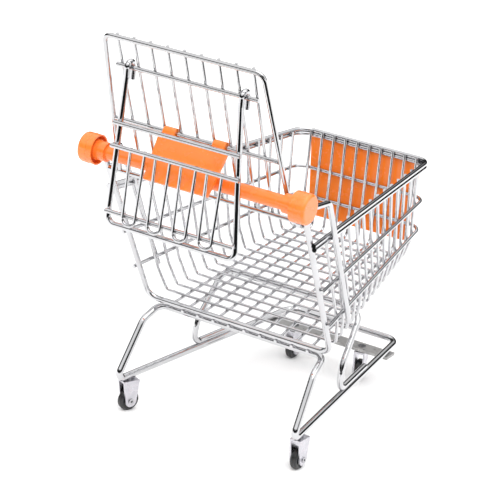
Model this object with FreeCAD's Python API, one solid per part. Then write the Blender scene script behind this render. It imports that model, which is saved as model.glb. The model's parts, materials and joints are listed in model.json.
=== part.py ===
import FreeCAD, Part
import math
import os

# Miniature wire shopping cart: welded wire basket and chassis, four small casters,
# moulded handle and sign plate, a swing-up rear gate, a hanging wire panel and a seat flap.
# Millimetres. +X is the direction of travel, +Y the cart's left, +Z up, wheels stand on Z = 0.

os.makedirs("parts", exist_ok=True)
V = FreeCAD.Vector

# ---- driving dimensions -------------------------------------------------------------
CENTRE_SHIFT = -46.27        # brings the middle of the overall length to X = 0
RAIL_HEIGHT = 20.55          # front end of the rail centre line above the floor
RAIL_R = 1.8                 # chassis wire radius
LEG_R = 1.6                  # front leg wire radius
REAR_R = 1.5                 # rear frame wire radius
SIDE_R = 1.4                 # side wire radius
RIM_R = 1.15                 # top rim wire radius
BAND_R = 1.0                 # middle and lower rim wire radius
MESH_R = 0.8                 # basket mesh wire radius
WELD = 0.05                  # depth by which crossing wires sink into each other

RAIL_REAR_X = -2.5
RAIL_REAR_Y = 50.85
RAIL_REAR_Z = -1.75          # the rails run a little downhill to the rear
RAIL_FRONT_X = 141.0
RAIL_FRONT_Y = 32.5
RUN_X = 27.5                 # chassis cross run under the basket floor
KNEE_X = 15.5                # bend where the rear legs turn forward
KNEE_Z = 26.3

BAR_X = 24.0                 # basket rear bottom bar
BAR_Z = 35.6
UPRIGHT_LEAN = 0.55          # backward run per unit rise of the rear uprights
UPRIGHT_TOP_Z = 125.0

FLOOR_X0 = 22.9              # rear end of the floor wires, welded under the rear bar
FLOOR_Z0 = 33.19             # floor wire height at its rear end
FLOOR_SLOPE = 0.143
FRONT_X = 141.0              # front rim centre line
RIB_COUNT = 14
RIB_X0 = 35.5
RIB_PITCH = 7.45
FLOOR_WIRES = 10
TOP_Z = 102.1                # upper top rim centre line
TOP_FRONT_Y = 37.7           # half width of the top rims at the front
LOW_FRONT_Y = 37.6           # half width of the lower rim at the front
KNEE = 0.2                   # where the ribs turn in, as a fraction of the basket depth
LOWER_BAND = 0.28            # rim heights as fractions of the basket depth
MIDDLE_BAND = 0.59
CORNER_R = 8.0

WHEEL_R = 5.5
WHEEL_W = 3.6
AXLE_R = 1.0
FORK_GAP = 4.2
FORK_WALL = 0.9
FORK_LENGTH = 9.1
BOSS_R = 3.1                 # rounded lower end of the fork cheeks
REAR_CASTER_X = 7.65
FRONT_CASTER_X = 124.5
FRONT_CASTER_Y = 20.5
TRAIL = 0.4                  # axle ahead of the swivel pivot
REAR_LEFT_YAW = -25.0        # degrees, the casters' resting swivel angles
REAR_RIGHT_YAW = -2.0
FRONT_LEFT_YAW = -6.0
FRONT_RIGHT_YAW = 12.0
KINGPIN_R = 1.2

HANDLE_X = -29.4
HANDLE_Z = 124.5
HANDLE_BAR_R = 3.45
KNOB_R = 7.3
KNOB_IN = 53.2
KNOB_OUT = 61.2
COLLAR_IN = 47.9             # inner end of the collar beside each knob

HINGE_Z = 113.5              # gate hinge rod
HINGE_R = 1.15
GATE_LEAN = 0.413            # backward run per unit rise of the raised gate
GATE_R = 1.2
GATE_TOP_Z = 186.8
GATE_Y_LOW = 47.0
GATE_Y_TOP = 41.5
GATE_WIRE_PITCH = 8.9
CROSS_R = 1.1
UPPER_CROSS_Z = 172.7
LOWER_CROSS_Z = 143.2

PANEL_R = 1.4                # hanging panel frame wire
PANEL_CROSS_R = 1.1
LOOP_R = 0.8
RUN_CLEAR = 0.05             # radial clearance of every running fit


# ---- helpers --------------------------------------------------------------------------
def fillet_path(points, bends):
    pts = [V(*p) for p in points]
    if not isinstance(bends, (list, tuple)):
        bends = [bends] * (len(pts) - 2)
    edges = []
    last = pts[0]
    for i in range(1, len(pts) - 1):
        a = pts[i - 1] - pts[i]
        b = pts[i + 1] - pts[i]
        a.normalize()
        b.normalize()
        angle = a.getAngle(b)
        reach = bends[i - 1] / math.tan(angle / 2.0)
        start = pts[i] + a * reach
        end = pts[i] + b * reach
        axis = a + b
        axis.normalize()
        centre = pts[i] + axis * (bends[i - 1] / math.sin(angle / 2.0))
        middle = centre - axis * bends[i - 1]
        edges.append(Part.LineSegment(last, start).toShape())
        edges.append(Part.Arc(start, middle, end).toShape())
        last = end
    edges.append(Part.LineSegment(last, pts[-1]).toShape())
    return edges


def rod(points, radius, bends=4.0):
    """A round wire along a polyline with rounded bends."""
    edges = fillet_path(points, bends) if len(points) > 2 else None
    if edges is None:
        a = V(*points[0])
        b = V(*points[1])
        return Part.makeCylinder(radius, (b - a).Length, a, b - a)
    path = Part.Wire(edges)
    start = V(*points[0])
    heading = V(*points[1]) - start
    profile = Part.Wire([Part.makeCircle(radius, start, heading)])
    return path.makePipeShell([profile], True, True)


def fuse(shapes):
    body = shapes[0].multiFuse(shapes[1:])
    return body


def place(shape):
    return shape.translated(V(CENTRE_SHIFT, 0, RAIL_HEIGHT))


def save(name, shapes):
    shape = shapes if not isinstance(shapes, list) else Part.makeCompound(shapes)
    place(shape).exportStep("parts/" + name + ".step")


def mirrored(points):
    return [(p[0], -p[1], p[2]) for p in points]


def tube(outer, inner, length, base, axis):
    return Part.makeCylinder(outer, length, base, axis).cut(
        Part.makeCylinder(inner, length + 2, base - axis, axis))


def rail_y(x):
    share = (x - RAIL_REAR_X) / (RAIL_FRONT_X - RAIL_REAR_X)
    return RAIL_REAR_Y + (RAIL_FRONT_Y - RAIL_REAR_Y) * share


def rail_z(x):
    return RAIL_REAR_Z * (RAIL_FRONT_X - x) / (RAIL_FRONT_X - RAIL_REAR_X)


def upright_x(z):
    return BAR_X - UPRIGHT_LEAN * (z - BAR_Z)


def upright_y(z):
    return 52.2 + 0.025 * (z - 36.0)


def floor_z(x):
    return FLOOR_Z0 + FLOOR_SLOPE * (x - FLOOR_X0)


def rib_floor_z(x):
    return floor_z(x) + 2 * MESH_R - WELD


def rib_floor_y(x):
    return 48.2 - 0.156 * (x - 40.0)


def rim_line(x, z, radius, front_y):
    # a rim passes outside the rear uprights and narrows towards the front
    rear_x = upright_x(z)
    rear_y = upright_y(z) + REAR_R + radius - WELD
    return rear_y + (front_y - rear_y) * (x - rear_x) / (FRONT_X - rear_x)


def top_y(x):
    return rim_line(x, 101.0, RIM_R, TOP_FRONT_Y)


def low_y(x):
    return rim_line(x, 54.0, BAND_R, LOW_FRONT_Y)


def side_bottom(s):
    x = RIB_X0 + s * RIB_PITCH * (RIB_COUNT - 1)
    return V(x, rib_floor_y(x), rib_floor_z(x))


def side_top(s):
    x = 3.3 + s * 126.5
    return V(x, top_y(x) - RIM_R - MESH_R + WELD, TOP_Z + 0.4)


def wall_point(t, s):
    # the flat side wall between the lower rim and the top rim
    low = side_bottom(s)
    high = side_top(s)
    p = low + (high - low) * t
    first = low + (high - low) * LOWER_BAND
    first_y = low_y(first.x) - BAND_R - MESH_R + WELD
    share = (t - LOWER_BAND) / (1.0 - LOWER_BAND)
    return V(p.x, first_y + (high.y - first_y) * share, p.z)


def band_point(t, s):
    p = wall_point(t, s)
    return V(p.x, p.y + BAND_R + MESH_R - WELD, p.z)


def gate_x(z):
    return -24.0 - GATE_LEAN * (z - 124.5)


# ---- chassis --------------------------------------------------------------------------
def chassis_frame():
    run_z = floor_z(RUN_X) - MESH_R - RAIL_R + WELD
    left = [(RUN_X, 47.3, run_z), (KNEE_X, 49.0, KNEE_Z), (RAIL_REAR_X, RAIL_REAR_Y, RAIL_REAR_Z),
            (RAIL_FRONT_X, RAIL_FRONT_Y, 0)]
    right = mirrored(left)[::-1]
    points = [(RUN_X, 0.05, run_z)] + left + right + [(RUN_X, -0.05, run_z)]
    return rod(points, RAIL_R, [5, 8, 3, 7.5, 7.5, 3, 8, 5])


def front_leg_frame():
    top = RAIL_R + LEG_R - WELD
    run_x = 77.0
    run_z = floor_z(run_x) - MESH_R - LEG_R + WELD
    left = [(92.0, rail_y(92.0), top + rail_z(92.0)), (56.5, rail_y(56.5), top + rail_z(56.5)),
            (58.0, 42.6, 15.0), (run_x, 40.6, run_z)]
    right = mirrored(left)[::-1]
    return rod(left + right, LEG_R, [5, 14, 8, 8, 14, 5])


PLATE_Z = rail_z(FRONT_CASTER_X) - RAIL_R + WELD


def cross_plate():
    plate = Part.makeBox(9.0, 75.0, 1.6, V(FRONT_CASTER_X - 4.0, -37.5, PLATE_Z - 1.6))
    for side in (1, -1):
        hole = Part.makeCylinder(KINGPIN_R, 6, V(FRONT_CASTER_X, side * FRONT_CASTER_Y, -6), V(0, 0, 1))
        plate = plate.cut(hole)
    return plate


def rear_frame():
    left = [(upright_x(UPRIGHT_TOP_Z), upright_y(UPRIGHT_TOP_Z), UPRIGHT_TOP_Z),
            (BAR_X, upright_y(BAR_Z), BAR_Z)]
    return rod(left + mirrored(left)[::-1], REAR_R, [6, 6])


save("chassis_frame", chassis_frame())
save("front_leg_frame", front_leg_frame())
save("cross_plate", cross_plate())
save("rear_frame", rear_frame())


# ---- basket ---------------------------------------------------------------------------
def top_rim(z):
    rear_x = upright_x(z) - REAR_R - 0.3
    front_x = FRONT_X + RIM_R - BAND_R
    left = [(rear_x, top_y(rear_x), z), (front_x, top_y(front_x), z)]
    return rod(left + mirrored(left)[::-1], RIM_R, [CORNER_R, CORNER_R])


def band_side_line(t):
    # straight rim run from just behind the rear upright to the front corner
    a = band_point(t, 0.0)
    b = band_point(t, 1.0)
    direction = b - a
    direction.multiply(1.0 / direction.x)
    front = a + direction * (FRONT_X - a.x)
    rear = a
    for _ in range(6):
        rear = a + direction * (upright_x(rear.z) - REAR_R - 0.3 - a.x)
    return rear, front


def corner_reach(rear, front):
    a = rear - front
    a.normalize()
    return CORNER_R / math.tan(a.getAngle(V(0, -1, 0)) / 2.0), a


def rib_wire(k, side):
    s = k / float(RIB_COUNT - 1)
    low = side_bottom(s)
    knee = wall_point(KNEE, s)
    high = side_top(s)
    bend = 2.5
    a = knee - low
    a.normalize()
    reach = bend / math.tan(a.getAngle(V(0, -1, 0)) / 2.0)
    inner = V(low.x, low.y - reach, low.z)
    tip = V(low.x, low.y - reach - 0.01, low.z)
    points = [high, knee, low, tip]
    points = [(p.x, side * p.y, p.z) for p in points]
    return rod(points, MESH_R, [6, bend]), inner.y


def side_panel(side):
    wires = []
    for k in range(RIB_COUNT):
        wires.append(rib_wire(k, side)[0])
    for t in (LOWER_BAND, MIDDLE_BAND):
        rear, front = band_side_line(t)
        reach, a = corner_reach(rear, front)
        end = front + a * reach
        wires.append(rod([(rear.x, side * rear.y, rear.z), (end.x, side * end.y, end.z)], BAND_R))
    return fuse(wires)


def floor_wire_y(i):
    rear = 4.48 * (2 * i - FLOOR_WIRES + 1)
    front = 3.49 * (2 * i - FLOOR_WIRES + 1)
    return rear, front


FRONT_WIRE_X = FRONT_X - BAND_R - MESH_R + WELD
FRONT_BEND = 4.0


def floor_corner(i):
    rear, front = floor_wire_y(i)
    corner = V(FRONT_WIRE_X, front, floor_z(FRONT_WIRE_X))
    back = V(FLOOR_X0, rear, FLOOR_Z0)
    a = back - corner
    a.normalize()
    reach = FRONT_BEND / math.tan(a.getAngle(V(0, 0, 1)) / 2.0)
    return back, corner, corner + a * reach, a


def floor_panel():
    wires = []
    for i in range(FLOOR_WIRES):
        back, corner, end, a = floor_corner(i)
        wires.append(rod([tuple(back), tuple(end)], MESH_R))
    for k in range(RIB_COUNT):
        half = rib_wire(k, 1)[1]
        x = RIB_X0 + k * RIB_PITCH
        wires.append(rod([(x, half, rib_floor_z(x)), (x, -half, rib_floor_z(x))], MESH_R))
    return fuse(wires)


def front_panel():
    wires = []
    for i in range(FLOOR_WIRES):
        back, corner, end, a = floor_corner(i)
        tail = end + a * 0.01
        points = [tuple(tail), tuple(corner), (corner.x, corner.y, TOP_Z + 0.4)]
        wires.append(rod(points, MESH_R, FRONT_BEND))
    for t in (LOWER_BAND, MIDDLE_BAND):
        rear, front = band_side_line(t)
        reach, a = corner_reach(rear, front)
        start = front + a * (reach + 0.01)
        half = [(start.x, start.y, start.z), (front.x, front.y, front.z)]
        wires.append(rod(half + mirrored(half)[::-1], BAND_R, CORNER_R))
    return fuse(wires)


save("top_rim_upper", top_rim(TOP_Z))
save("top_rim_lower", top_rim(TOP_Z - 2 * RIM_R + WELD))
save("basket_floor", floor_panel())
save("basket_left_side", side_panel(1))
save("basket_right_side", side_panel(-1))
save("basket_front", front_panel())


def side_wire(side):
    # touches the outside of the upper top rim and of the lower rim
    high = (5.5, top_y(5.5) + RIM_R + SIDE_R - WELD)
    low = (30.7, low_y(30.7) + BAND_R + SIDE_R - WELD)
    slope = (low[1] - high[1]) / (low[0] - high[0])
    upper_y = high[1] + slope * (-5.0 - high[0])
    lower_y = high[1] + slope * (34.5 - high[0])
    points = [(-24.5, upper_y, 122.8), (-5.0, upper_y, 121.0), (34.5, lower_y, 49.7)]
    return rod([(p[0], side * p[1], p[2]) for p in points], SIDE_R, 5)


save("side_wire_left", side_wire(1))
save("side_wire_right", side_wire(-1))


# ---- handle and sign plate ------------------------------------------------------------
def handle_bar():
    bar = Part.makeCylinder(HANDLE_BAR_R, 2 * KNOB_IN, V(HANDLE_X, -KNOB_IN, HANDLE_Z), V(0, 1, 0))
    for side in (1, -1):
        length = KNOB_IN - COLLAR_IN
        step = Part.makeCylinder(4.6, length, V(HANDLE_X, side * COLLAR_IN, HANDLE_Z), V(0, side, 0))
        bar = bar.fuse(step)
    return bar.removeSplitter()


def knob(side):
    length = KNOB_OUT - KNOB_IN
    body = Part.makeCylinder(KNOB_R, length, V(HANDLE_X, side * KNOB_IN, HANDLE_Z), V(0, side, 0))
    outer_edges = [e for e in body.Edges if e.Curve.TypeId == "Part::GeomCircle"
                   and abs(abs(e.CenterOfMass.y) - KNOB_OUT) < 0.01]
    body = body.makeFillet(1.6, outer_edges)
    groove = tube(6.6, 4.9, 3.2, V(HANDLE_X, side * KNOB_IN, HANDLE_Z), V(0, side, 0))
    body = body.cut(groove)
    body = body.cut(rear_frame())
    return body.cut(side_wire(side))


def sign_plate():
    outline = [(-29.3, 55.3), (29.3, 55.3), (32.5, 99.5), (-32.5, 99.5)]
    pts = [V(142.3, y, z) for y, z in outline]
    face = Part.Face(Part.makePolygon(pts + [pts[0]]))
    plate = face.extrude(V(1.8, 0, 0))
    long_edges = [e for e in plate.Edges if abs(e.Vertexes[0].X - e.Vertexes[1].X) > 1.0]
    plate = plate.makeFillet(2.5, long_edges)
    for y in (-22.0, 22.0):
        for z in (band_side_line(LOWER_BAND)[1].z, band_side_line(MIDDLE_BAND)[1].z):
            pad = Part.makeBox(0.5, 5.0, 3.0, V(141.9, y - 2.5, z - 1.5))
            plate = plate.fuse(pad)
    return plate.removeSplitter()


save("handle_bar", handle_bar())
save("knob_left", knob(1))
save("knob_right", knob(-1))
save("sign_plate", sign_plate())


# ---- casters --------------------------------------------------------------------------
def fork_shape(top_z):
    half = FORK_GAP / 2.0
    wide = half + FORK_WALL
    rear = -FORK_LENGTH / 2.0
    front = FORK_LENGTH / 2.0
    plate = Part.makeBox(FORK_LENGTH, 2 * wide, 1.0, V(rear, -wide, top_z - 1.0))
    parts = [plate]
    for y in (half, -wide):
        boss = Part.makeCylinder(BOSS_R, FORK_WALL, V(TRAIL, y, AXLE_Z), V(0, 1, 0))
        quad = [V(rear, y, top_z - 0.5), V(front, y, top_z - 0.5), V(TRAIL + BOSS_R, y, AXLE_Z),
                V(TRAIL - BOSS_R, y, AXLE_Z)]
        cheek = Part.Face(Part.makePolygon(quad + [quad[0]])).extrude(V(0, FORK_WALL, 0))
        parts.append(cheek.fuse(boss))
    body = fuse(parts).removeSplitter()
    body = body.cut(Part.makeCylinder(AXLE_R, 20, V(TRAIL, -10, AXLE_Z), V(0, 1, 0)))
    return body.cut(Part.makeCylinder(KINGPIN_R + RUN_CLEAR, 10, V(0, 0, top_z - 5), V(0, 0, 1)))


def axle_shape():
    wide = FORK_GAP / 2.0 + FORK_WALL
    shaft = Part.makeCylinder(AXLE_R, 2 * wide, V(TRAIL, -wide, AXLE_Z), V(0, 1, 0))
    for side in (1, -1):
        head = Part.makeCylinder(1.5, 0.6, V(TRAIL, side * wide, AXLE_Z), V(0, side, 0))
        shaft = shaft.fuse(head)
    dimple = Part.makeCylinder(0.6, 1.2, V(TRAIL, -wide - 0.7, AXLE_Z), V(0, 1, 0))
    return shaft.removeSplitter().cut(dimple)


def wheel_shape():
    half = WHEEL_W / 2.0
    bore = AXLE_R + RUN_CLEAR
    profile = [(bore, -half), (2.4, -half), (2.4, -half + 0.4), (3.9, -half + 0.4), (3.9, -half),
               (4.8, -half), (WHEEL_R, -half + 0.8), (WHEEL_R, half - 0.8), (4.8, half), (3.9, half),
               (3.9, half - 0.4), (2.4, half - 0.4), (2.4, half), (bore, half)]
    pts = [V(TRAIL + r, y, AXLE_Z) for r, y in profile]
    face = Part.Face(Part.makePolygon(pts + [pts[0]]))
    return face.revolve(V(TRAIL, 0, AXLE_Z), V(0, 1, 0), 360)


def front_kingpin():
    foot = Part.makeCylinder(2.0, 0.8, V(0, 0, FRONT_TOP - 2.1), V(0, 0, 1))
    head = Part.makeCylinder(2.0, 0.6, V(0, 0, PLATE_Z), V(0, 0, 1))
    stem = Part.makeCylinder(KINGPIN_R, PLATE_Z + 0.3 - FRONT_TOP + 1.4, V(0, 0, FRONT_TOP - 1.4), V(0, 0, 1))
    return fuse([foot, stem, head]).removeSplitter()


def rear_kingpin():
    # a stud welded into the underside of the rail
    foot = Part.makeCylinder(2.0, 0.8, V(0, 0, REAR_TOP - 2.1), V(0, 0, 1))
    low = REAR_TOP - 1.4
    high = rail_z(REAR_CASTER_X) - 1.0
    stem = Part.makeCylinder(KINGPIN_R, high - low, V(0, 0, low), V(0, 0, 1))
    return fuse([foot, stem]).removeSplitter()


AXLE_Z = WHEEL_R - RAIL_HEIGHT
REAR_TOP = rail_z(REAR_CASTER_X) - RAIL_R - 0.45
FRONT_TOP = PLATE_Z - 1.6 - 0.3

for name, side, rear_yaw, front_yaw in (("left", 1, REAR_LEFT_YAW, FRONT_LEFT_YAW),
                                        ("right", -1, REAR_RIGHT_YAW, FRONT_RIGHT_YAW)):
    rear_spot = V(REAR_CASTER_X, side * rail_y(REAR_CASTER_X), 0)
    front_spot = V(FRONT_CASTER_X, side * FRONT_CASTER_Y, 0)
    for end, top_z, yaw, spot in (("rear", REAR_TOP, rear_yaw, rear_spot),
                                  ("front", FRONT_TOP, front_yaw, front_spot)):
        for stem, shape in (("fork", fork_shape(top_z)), ("axle", axle_shape()), ("wheel", wheel_shape())):
            shape.rotate(V(0, 0, 0), V(0, 0, 1), yaw)
            save(end + "_" + stem + "_" + name, shape.translated(spot))
    save("front_kingpin_" + name, front_kingpin().translated(front_spot))
    save("rear_kingpin_" + name, rear_kingpin().translated(rear_spot))


# ---- gate -----------------------------------------------------------------------------
GATE_U = V(-GATE_LEAN, 0, 1)
GATE_U.normalize()
GATE_N = V(GATE_U.z, 0, -GATE_U.x)       # forward side of the raised gate
HINGE = V(gate_x(HINGE_Z), 0, HINGE_Z)


def hinge_eye(side):
    y = side * 50.3
    axis = V(0, side, 0)
    ring = Part.makeCylinder(2.4, 2.2, V(HINGE.x, y, HINGE.z), axis)
    z = HINGE_Z - 2.0
    stub = rod([(HINGE.x, side * 50.9, z), (upright_x(z), side * (upright_y(z) - 1.3), z)], 0.9)
    body = ring.fuse(stub).removeSplitter()
    return body.cut(Part.makeCylinder(HINGE_R + RUN_CLEAR, 10, V(HINGE.x, side * 45, HINGE.z), axis))


def gate_frame():
    foot_z = HINGE_Z + HINGE_R - 0.15
    left = [(gate_x(foot_z), GATE_Y_LOW, foot_z), (gate_x(GATE_TOP_Z), GATE_Y_TOP, GATE_TOP_Z)]
    return rod(left + mirrored(left)[::-1], GATE_R, [4, 4])


def gate_bars():
    bars = []
    lift = GATE_N * (CROSS_R + MESH_R - WELD)
    for i in range(-4, 5):
        y = i * GATE_WIRE_PITCH
        low = HINGE + GATE_U * (-1.4) + lift
        high = V(gate_x(GATE_TOP_Z), 0, GATE_TOP_Z) + GATE_U * 0.6 + lift
        bars.append(rod([(low.x, y, low.z), (high.x, y, high.z)], MESH_R))
    return bars


def cross_wire(z, half):
    return rod([(gate_x(z), -half, z), (gate_x(z), half, z)], CROSS_R)


def gate_half_width(z):
    share = (z - HINGE_Z) / (GATE_TOP_Z - HINGE_Z)
    return GATE_Y_LOW + (GATE_Y_TOP - GATE_Y_LOW) * share


save("hinge_eye_left", hinge_eye(1))
save("hinge_eye_right", hinge_eye(-1))
save("gate_frame", gate_frame())
save("gate_bars", gate_bars())
save("gate_hinge_rod", rod([(HINGE.x, -52.3, HINGE.z), (HINGE.x, 52.3, HINGE.z)], HINGE_R))
save("gate_upper_wire", cross_wire(UPPER_CROSS_Z, 37.4))
save("gate_lower_wire", cross_wire(LOWER_CROSS_Z, gate_half_width(LOWER_CROSS_Z) - GATE_R + 0.1))


# ---- hanging panel --------------------------------------------------------------------
HOOK = V(gate_x(UPPER_CROSS_Z), 0, UPPER_CROSS_Z)
HOOK_R = CROSS_R + RUN_CLEAR + PANEL_R
PANEL_X = HOOK.x - HOOK_R
PANEL_LOW_Z = 97.8
CROSS_X = PANEL_X - PANEL_R - PANEL_CROSS_R + WELD


def panel_frame():
    top = [V(HOOK.x + HOOK_R, 30.2, HOOK.z - 6.0), V(HOOK.x + HOOK_R, 30.2, HOOK.z),
           V(HOOK.x, 30.2, HOOK.z + HOOK_R), V(PANEL_X, 30.2, HOOK.z)]
    low = V(PANEL_X, 34.6, PANEL_LOW_Z)
    low_r = V(PANEL_X, -34.6, PANEL_LOW_Z)
    left_top = V(PANEL_X, 30.2, HOOK.z - 4.0)
    right_top = V(PANEL_X, -30.2, HOOK.z - 4.0)
    lower = fillet_path([tuple(left_top), tuple(low), tuple(low_r), tuple(right_top)], [4, 4])
    edges = [Part.LineSegment(top[0], top[1]).toShape(), Part.Arc(top[1], top[2], top[3]).toShape(),
             Part.LineSegment(top[3], left_top).toShape()]
    flip = [V(p.x, -p.y, p.z) for p in top]
    tail = [Part.LineSegment(right_top, flip[3]).toShape(), Part.Arc(flip[3], flip[2], flip[1]).toShape(),
            Part.LineSegment(flip[1], flip[0]).toShape()]
    path = Part.Wire(edges + lower + tail)
    profile = Part.Wire([Part.makeCircle(PANEL_R, top[0], V(0, 0, 1))])
    return path.makePipeShell([profile], True, True, 1)


def panel_cross_wires():
    wires = []
    for z, half in ((147.2, 33.6), (136.1, 34.2), (104.4, 34.6)):
        wires.append(rod([(CROSS_X, -half, z), (CROSS_X, half, z)], PANEL_CROSS_R))
    return wires


def panel_loops():
    loops = []
    near = CROSS_X + PANEL_CROSS_R + LOOP_R - WELD
    far = CROSS_X - PANEL_CROSS_R - LOOP_R + WELD
    for centre in (-26.4, -8.8, 8.8, 26.4):
        centre = centre * 0.78
        upper = 3.9
        lower = 3.3
        points = [(near, centre + upper, 136.6), (far, centre + lower, 101.0), (far, centre - lower, 101.0),
                  (near, centre - upper, 136.6)]
        loops.append(rod(points, LOOP_R, [2.9, 2.9]))
    return loops


def seat_flap():
    pivot = V(gate_x(LOWER_CROSS_Z), 0, LOWER_CROSS_Z)
    start = V(-33.2, 0, 141.4)
    end = V(-45.9, 0, 123.2)
    along = end - start
    along.normalize()
    normal = V(along.z, 0, -along.x)
    corners = []
    for point, half in ((start, 18.6), (end, 17.2)):
        corners.append((point, half))
    a, ha = corners[0]
    b, hb = corners[1]
    outline = [V(a.x, -ha, a.z), V(a.x, ha, a.z), V(b.x, hb, b.z), V(b.x, -hb, b.z)]
    outline = [p - normal * 0.8 for p in outline]
    plate = Part.Face(Part.makePolygon(outline + [outline[0]])).extrude(normal * 1.6)
    for side in (1, -1):
        y = 10.1 if side > 0 else -16.6
        plate = plate.fuse(Part.makeCylinder(2.5, 6.5, V(pivot.x, y, pivot.z), V(0, 1, 0)))
    plate = plate.removeSplitter()
    return plate.cut(Part.makeCylinder(CROSS_R + RUN_CLEAR, 60, V(pivot.x, -30, pivot.z), V(0, 1, 0)))


save("panel_frame", panel_frame())
save("panel_cross_wires", panel_cross_wires())
save("panel_loops", panel_loops())
save("seat_flap", seat_flap())
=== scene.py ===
import json
import math

import bmesh
import bpy
from mathutils import Matrix, Vector


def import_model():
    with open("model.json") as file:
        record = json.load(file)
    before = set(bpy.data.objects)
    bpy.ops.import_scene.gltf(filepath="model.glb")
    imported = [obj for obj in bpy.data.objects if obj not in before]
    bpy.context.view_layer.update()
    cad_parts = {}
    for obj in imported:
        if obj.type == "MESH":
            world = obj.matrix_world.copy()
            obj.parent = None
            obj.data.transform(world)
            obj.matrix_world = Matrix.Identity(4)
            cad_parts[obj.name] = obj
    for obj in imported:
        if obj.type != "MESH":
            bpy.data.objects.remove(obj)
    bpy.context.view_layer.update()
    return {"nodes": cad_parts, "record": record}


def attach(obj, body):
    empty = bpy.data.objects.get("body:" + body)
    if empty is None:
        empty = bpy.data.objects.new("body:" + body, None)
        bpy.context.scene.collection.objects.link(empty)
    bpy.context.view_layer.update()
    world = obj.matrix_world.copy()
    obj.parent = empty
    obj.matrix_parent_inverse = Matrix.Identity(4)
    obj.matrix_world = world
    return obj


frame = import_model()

MM = 0.001
NODES = frame["nodes"]
SCENE = bpy.context.scene


# ---- node helpers ---------------------------------------------------------------------
class Nodes:
    """A small builder for shader trees."""

    def __init__(self, tree):
        self.tree = tree

    def add(self, kind, **values):
        node = self.tree.nodes.new(kind)
        for key, value in values.items():
            setattr(node, key, value)
        return node

    def link(self, out_socket, in_socket):
        self.tree.links.new(out_socket, in_socket)


def new_material(name):
    mat = bpy.data.materials.new(name)
    mat.use_nodes = True
    mat.node_tree.nodes.clear()
    b = Nodes(mat.node_tree)
    out = b.add("ShaderNodeOutputMaterial")
    shader = b.add("ShaderNodeBsdfPrincipled")
    b.link(shader.outputs[0], out.inputs["Surface"])
    return mat, b, shader


def noise(b, coords, scale, detail=2.0, roughness=0.5):
    tex = b.add("ShaderNodeTexNoise")
    tex.inputs["Scale"].default_value = scale
    tex.inputs["Detail"].default_value = detail
    tex.inputs["Roughness"].default_value = roughness
    b.link(coords, tex.inputs["Vector"])
    return tex.outputs["Fac"]


def ramp(b, fac, stops):
    node = b.add("ShaderNodeValToRGB")
    b.link(fac, node.inputs["Fac"])
    ends = node.color_ramp.elements
    while len(ends) < len(stops):
        ends.new(0.5)
    for end, (at, value) in zip(ends, stops):
        end.position = at
        end.color = (*value, 1.0) if isinstance(value, tuple) else (value, value, value, 1.0)
    return node.outputs["Color"]


def bump(b, shader, height, strength, distance):
    node = b.add("ShaderNodeBump")
    node.inputs["Strength"].default_value = strength
    node.inputs["Distance"].default_value = distance
    b.link(height, node.inputs["Height"])
    b.link(node.outputs[0], shader.inputs["Normal"])


def chrome(name, tint=(0.62, 0.62, 0.635), rough=0.05):
    """Bright plated wire: faint plating haze and drawn-wire waviness."""
    mat, b, shader = new_material(name)
    coords = b.add("ShaderNodeTexCoord").outputs["Object"]
    haze = noise(b, coords, 90.0, 3.0)
    hazed = tuple(0.90 * c for c in tint)
    b.link(ramp(b, haze, [(0.3, hazed), (0.7, tint)]), shader.inputs["Base Color"])
    fine = noise(b, coords, 420.0, 3.0)
    b.link(ramp(b, fine, [(0.35, rough * 0.6), (0.75, rough * 1.9)]), shader.inputs["Roughness"])
    shader.inputs["Metallic"].default_value = 1.0
    bump(b, shader, noise(b, coords, 260.0, 2.0), 0.12, 0.00012)
    return mat


def plastic(name, deep, light, rough=0.22, coat=0.3):
    """Glossy moulded plastic with a faint flow pattern and soft orange-peel surface."""
    mat, b, shader = new_material(name)
    coords = b.add("ShaderNodeTexCoord").outputs["Object"]
    flow = noise(b, coords, 35.0, 3.0, 0.55)
    b.link(ramp(b, flow, [(0.3, deep), (0.7, light)]), shader.inputs["Base Color"])
    b.link(ramp(b, noise(b, coords, 300.0, 2.0), [(0.3, rough * 0.8), (0.8, rough * 1.5)]),
           shader.inputs["Roughness"])
    shader.inputs["Coat Weight"].default_value = coat
    shader.inputs["Coat Roughness"].default_value = 0.12
    shader.inputs["Subsurface Weight"].default_value = 0.12
    shader.inputs["Subsurface Radius"].default_value = (1.0, 0.35, 0.1)
    shader.inputs["Subsurface Scale"].default_value = 0.0015
    bump(b, shader, noise(b, coords, 900.0, 2.0), 0.06, 0.0001)
    return mat


MATS = {
    "frame_chrome": chrome("plated frame wire"),
    "basket_chrome": chrome("plated basket wire"),
    "gate_chrome": chrome("plated gate wire", (0.60, 0.60, 0.61)),
    "panel_chrome": chrome("plated panel wire"),
    "plate_steel": chrome("dull zinc strip", (0.46, 0.455, 0.45), 0.45),
    "fork_steel": chrome("pressed steel fork", (0.63, 0.62, 0.66), 0.30),
    "rivet_steel": chrome("rivet steel", (0.50, 0.50, 0.52), 0.14),
    "orange_plastic": plastic("orange handle plastic", (0.97, 0.21, 0.030), (1.0, 0.25, 0.05)),
    "orange_plate": plastic("orange plate plastic", (0.95, 0.20, 0.010), (1.0, 0.23, 0.014)),
    "orange_seat": plastic("orange seat plastic", (0.97, 0.21, 0.022), (1.0, 0.25, 0.035)),
    "weld_steel": chrome("fused weld bead", (0.30, 0.30, 0.31), 0.25),
    "wheel_black": plastic("black wheel plastic", (0.012, 0.012, 0.013), (0.02, 0.02, 0.021),
                           0.35, 0.1),
}

for part in frame["record"]["subparts"]:
    node = NODES[part["node"]]
    node.data.materials.clear()
    node.data.materials.append(MATS[part["material_slot"]])


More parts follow.
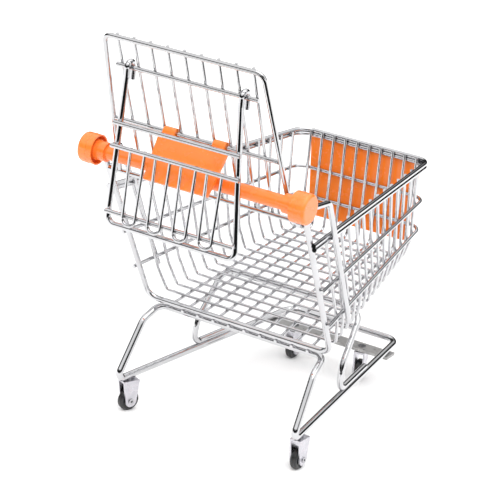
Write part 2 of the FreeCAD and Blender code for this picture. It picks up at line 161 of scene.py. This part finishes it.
# ---- welds and seams --------------------------------------------------------------------
# Lengths are millimetres: x forward from 2.5 mm ahead of the rails' rear end, z up from their
# front end.
CENTRE_SHIFT = -46.27           # from that origin to the middle of the cart
RAIL_HEIGHT = 20.55             # from the ground
MESH_R = 0.8
BAND_R = 1.0
RIM_R = 1.15
WELD = 0.05                     # how far crossing wires sink into each other
RIBS = 14
FIRST_RIB_X, RIB_PITCH = 35.5, 7.45
RIB_TOP_X, RIB_TOP_RUN = 3.3, 126.5
RIB_TOP_Z = 102.5
CORNER_Y, CORNER_TAPER, CORNER_X = 48.2, 0.156, 40.0    # where a rib bends up from the floor
FLOOR_WIRES = 10
HALF_PITCH_REAR, HALF_PITCH_FRONT = 4.48, 3.49          # half the spacing of the floor wires
FLOOR_X, FLOOR_Z, FLOOR_RISE = 22.9, 33.19, 0.143
LOWER_BAND, MIDDLE_BAND, TOP = 0.28, 0.59, 1.0          # shares of a rib's height
LOWER_BAND_Z, LOWER_FRONT_Y = 54.0, 37.6
RIM_Z, RIM_FRONT_Y = 101.0, 37.7
RIM_WELD_Z = 102.1
REAR_R = 1.5                    # radius of the uprights' wire
FRONT_X = 141.0
BAR_X, BAR_Z, UPRIGHT_LEAN = 24.0, 35.6, 0.55
UPRIGHT_Y, UPRIGHT_SPREAD, UPRIGHT_Z = 52.2, 0.025, 36.0


def lerp(a, b, share):
    return a + (b - a) * share


def upright(z):
    return BAR_X - UPRIGHT_LEAN * (z - BAR_Z), UPRIGHT_Y + UPRIGHT_SPREAD * (z - UPRIGHT_Z)


def rim_line(x, z, radius, front_y):
    rear_x, rear_y = upright(z)
    return lerp(rear_y + REAR_R + radius - WELD, front_y, (x - rear_x) / (FRONT_X - rear_x))


def floor_z(x):
    return FLOOR_Z + FLOOR_RISE * (x - FLOOR_X)


def rib_low(s):
    x = FIRST_RIB_X + s * RIB_PITCH * (RIBS - 1)
    return Vector((x, CORNER_Y - CORNER_TAPER * (x - CORNER_X), floor_z(x) + 2 * MESH_R - WELD))


def rib_high(s):
    x = RIB_TOP_X + s * RIB_TOP_RUN
    return Vector((x, rim_line(x, RIM_Z, RIM_R, RIM_FRONT_Y) - RIM_R - MESH_R + WELD, RIB_TOP_Z))


def wall(t, s):
    """The point a share t up rib s, on the line from the lower band to the rim."""
    low, high = rib_low(s), rib_high(s)
    first_x = low.lerp(high, LOWER_BAND).x
    first_y = rim_line(first_x, LOWER_BAND_Z, BAND_R, LOWER_FRONT_Y) - BAND_R - MESH_R + WELD
    p = low.lerp(high, t)
    return Vector((p.x, lerp(first_y, high.y, (t - LOWER_BAND) / (1 - LOWER_BAND)), p.z))


def piece(name, mesh, body, material):
    for face in mesh.faces:
        face.smooth = True
    data = bpy.data.meshes.new(name)
    mesh.to_mesh(data)
    mesh.free()
    data.materials.append(material)
    obj = bpy.data.objects.new(name, data)
    SCENE.collection.objects.link(obj)
    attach(obj, body)


SWELL, SWELL_STEP = 0.16, 2.4   # how much the beads differ in size, and the step between them


def nuggets(name, spots, body, radii):
    """Small fused beads where two wires cross, flattened across the crossing."""
    mesh = bmesh.new()
    for i, (x, y, z) in enumerate(spots):
        swell = 1.0 + SWELL * math.sin(i * SWELL_STEP)
        at = Vector((x + CENTRE_SHIFT, y, z + RAIL_HEIGHT)) * MM
        place = Matrix.Translation(at) @ Matrix.Diagonal([r * swell * MM for r in radii] + [1.0])
        bmesh.ops.create_icosphere(mesh, subdivisions=2, radius=1.0, matrix=place)
    piece(name, mesh, body, MATS["weld_steel"])


side_spots = []
floor_spots = []
for k in range(RIBS):
    s = k / (RIBS - 1)
    for side in (1, -1):
        for t in (LOWER_BAND, MIDDLE_BAND, TOP):
            p = wall(t, s)
            side_spots.append((p.x, side * (p.y + MESH_R - WELD / 2), min(p.z, RIM_WELD_Z)))
    x = rib_low(s).x
    half_pitch = lerp(HALF_PITCH_REAR, HALF_PITCH_FRONT, (x - FLOOR_X) / (FRONT_X - FLOOR_X))
    for i in range(FLOOR_WIRES):
        y = half_pitch * (2 * i - FLOOR_WIRES + 1)
        floor_spots.append((x, y, floor_z(x) + MESH_R - WELD / 2))
nuggets("side_welds", side_spots, "cart", (0.6, 0.34, 0.6))
nuggets("floor_welds", floor_spots, "cart", (0.72, 0.72, 0.4))

GATE_WIRE_PITCH = 8.9
CROSS_R = 1.1
GATE_X, GATE_Z, GATE_LEAN = -24.0, 124.5, 0.413
GATE_UPPER_Z, GATE_LOWER_Z = 172.7, 143.2
GATE_FORWARD = Vector((0.9243, 0, 0.3817))      # square to the raised gate
PANEL_CROSS_X = -48.91
PANEL_TOP_Z, PANEL_MIDDLE_Z, PANEL_BOTTOM_Z = 147.2, 136.1, 104.4
PANEL_HALF_WIDTHS = (31.6, 32.2, 34.2)          # at those three heights
LOOP_CENTRES = (-20.6, -6.9, 6.9, 20.6)
LOOP_HALF_TOP, LOOP_HALF_BOTTOM = 3.9, 3.35


def gate_x(z):
    return GATE_X - GATE_LEAN * (z - GATE_Z)


gate_spots = []
for z in (GATE_UPPER_Z, GATE_LOWER_Z):
    for i in range(-4, 5):
        p = Vector((gate_x(z), i * GATE_WIRE_PITCH, z)) + GATE_FORWARD * CROSS_R
        gate_spots.append(tuple(p))
nuggets("gate_welds", gate_spots, "gate", (0.5, 0.7, 0.7))

panel_front, panel_back = PANEL_CROSS_X + CROSS_R, PANEL_CROSS_X - CROSS_R
panel_spots = []
for centre in LOOP_CENTRES:
    for side in (1, -1):
        panel_spots.append((panel_front, centre + side * LOOP_HALF_TOP, PANEL_MIDDLE_Z))
        panel_spots.append((panel_back, centre + side * LOOP_HALF_BOTTOM, PANEL_BOTTOM_Z))
for z, y in zip((PANEL_TOP_Z, PANEL_MIDDLE_Z, PANEL_BOTTOM_Z), PANEL_HALF_WIDTHS):
    for side in (1, -1):
        panel_spots.append((panel_front, side * y, z))
nuggets("panel_welds", panel_spots, "hanging_panel", (0.4, 0.75, 0.75))

KNOB_X, KNOB_Y, KNOB_Z, KNOB_R = -29.4, 56.4, 124.5, 7.3
WHEEL_R = 5.5
SEAM_STEPS, SEAM_SIDES = 64, 8


def ring(name, centre, axis, radius, thick, body, material):
    """A fine raised parting line running round a moulded part."""
    mesh = bmesh.new()
    turn = Vector((0, 0, 1)).rotation_difference(Vector(axis)).to_matrix().to_4x4()
    place = Matrix.Translation(Vector(centre)) @ turn
    rows = []
    for i in range(SEAM_STEPS):
        a = math.tau * i / SEAM_STEPS
        row = []
        for k in range(SEAM_SIDES):
            b = math.tau * k / SEAM_SIDES
            r = radius + thick * math.cos(b)
            at = Vector((r * math.cos(a), r * math.sin(a), thick * math.sin(b)))
            row.append(mesh.verts.new(place @ at))
        rows.append(row)
    for i in range(SEAM_STEPS):
        a, b = rows[i], rows[(i + 1) % SEAM_STEPS]
        for k in range(SEAM_SIDES):
            after = (k + 1) % SEAM_SIDES
            mesh.faces.new((a[k], b[k], b[after], a[after]))
    piece(name, mesh, body, material)


for side, word in ((1, "left"), (-1, "right")):
    centre = Vector((KNOB_X + CENTRE_SHIFT, side * KNOB_Y, KNOB_Z + RAIL_HEIGHT)) * MM
    ring("knob_seam_" + word, centre, (0, 1, 0), KNOB_R * MM, 0.10 * MM, "cart",
         MATS["orange_plastic"])
for joint in frame["record"]["behaviour"]["joints"]:
    if "wheel_spin" in joint["name"]:
        ring(joint["child"] + "_seam", joint["pos_m"], joint["axis"], WHEEL_R * MM, 0.09 * MM,
             joint["child"], MATS["wheel_black"])


# ---- floor, light, camera -------------------------------------------------------------
def flat(name, corners, value, rough):
    mesh = bpy.data.meshes.new(name)
    mesh.from_pydata(corners, [], [tuple(range(len(corners)))])
    obj = bpy.data.objects.new(name, mesh)
    SCENE.collection.objects.link(obj)
    mat, _, shader = new_material(name)
    shader.inputs["Base Color"].default_value = (value, value, value, 1)
    shader.inputs["Roughness"].default_value = rough
    shader.inputs["Specular IOR Level"].default_value = 0.0
    mesh.materials.append(mat)
    return obj


def floor():
    r = 6.0
    flat("floor", [(-r, -r, 0), (r, -r, 0), (r, r, 0), (-r, r, 0)], 0.97, 0.8)


def front_card():
    """A black card lying on the camera's side of the cart: upright wires mirror it as a dark core."""
    toward = Vector((CAMERA_BACK.x, CAMERA_BACK.y, 0)).normalized()
    across = Vector((-toward.y, toward.x, 0))
    near, far, half = 0.22, 2.6, 0.45
    card = [toward * near - across * half, toward * far - across * half,
            toward * far + across * half, toward * near + across * half]
    black = flat("front_card", [(c.x, c.y, 0.001) for c in card], 0.01, 0.8)
    black.visible_camera = False
    black.visible_diffuse = False


def world():
    w = bpy.data.worlds.new("studio")
    SCENE.world = w
    w.use_nodes = True
    b = Nodes(w.node_tree)
    w.node_tree.nodes.clear()
    out = b.add("ShaderNodeOutputWorld")
    back = b.add("ShaderNodeBackground")
    b.link(back.outputs[0], out.inputs["Surface"])
    coords = b.add("ShaderNodeTexCoord").outputs["Generated"]
    split = b.add("ShaderNodeSeparateXYZ")
    b.link(coords, split.inputs[0])
    height = b.add("ShaderNodeMath", operation="MULTIPLY_ADD")
    b.link(split.outputs["Z"], height.inputs[0])
    height.inputs[1].default_value = 0.5
    height.inputs[2].default_value = 0.5
    # a dark room round the horizon under a broad white ceiling
    room = [(0.0, 0.1), (0.48, 0.1), (0.49, 0.02), (0.68, 0.02), (0.78, 1.0)]
    band = ramp(b, height.outputs[0], room)
    # a soft box low on the cart's right side
    side = b.add("ShaderNodeVectorMath", operation="DOT_PRODUCT")
    b.link(coords, side.inputs[0])
    side.inputs[1].default_value = (0.35, -0.87, 0.34)
    box = ramp(b, side.outputs["Value"], [(0.86, 0.0), (0.92, 1.0)])
    mix = b.add("ShaderNodeMix", data_type="RGBA", blend_type="LIGHTEN")
    mix.inputs["Factor"].default_value = 1.0
    b.link(band, mix.inputs[6])
    b.link(box, mix.inputs[7])
    b.link(mix.outputs[2], back.inputs["Color"])
    back.inputs["Strength"].default_value = 1.2


def sun_light(name, at, strength, spread, mirrored=True):
    """A soft sun shining from the direction at; an unmirrored one leaves no glint."""
    data = bpy.data.lights.new(name, "SUN")
    data.energy = strength
    data.angle = spread
    obj = bpy.data.objects.new(name, data)
    obj.rotation_euler = (-Vector(at)).to_track_quat("-Z", "Y").to_euler()
    obj.visible_glossy = mirrored
    SCENE.collection.objects.link(obj)


CAMERA_AT = Vector((-894.6, -485.8, 465.1)) * MM
CAMERA_RIGHT = Vector((0.51255, -0.85344, 0.09453))
CAMERA_UP = Vector((0.25352, 0.25560, 0.93295))
CAMERA_BACK = Vector((-0.82038, -0.45422, 0.34737))


def add_camera():
    data = bpy.data.cameras.new("camera")
    data.lens = 158.4
    data.sensor_width = 36.0
    data.clip_start = 0.01
    camera = bpy.data.objects.new("camera", data)
    turn = Matrix((CAMERA_RIGHT, CAMERA_UP, CAMERA_BACK)).transposed()
    camera.matrix_world = Matrix.Translation(CAMERA_AT) @ turn.to_4x4()
    SCENE.collection.objects.link(camera)
    SCENE.camera = camera


add_camera()
floor()
front_card()
world()
sun_light("ceiling", (-0.2, -0.5, 2.0), 1.2, 1.2)
sun_light("fill", CAMERA_BACK + Vector((0, 0, 0.25)), 1.5, 1.0, False)
SCENE.view_settings.view_transform = "Standard"
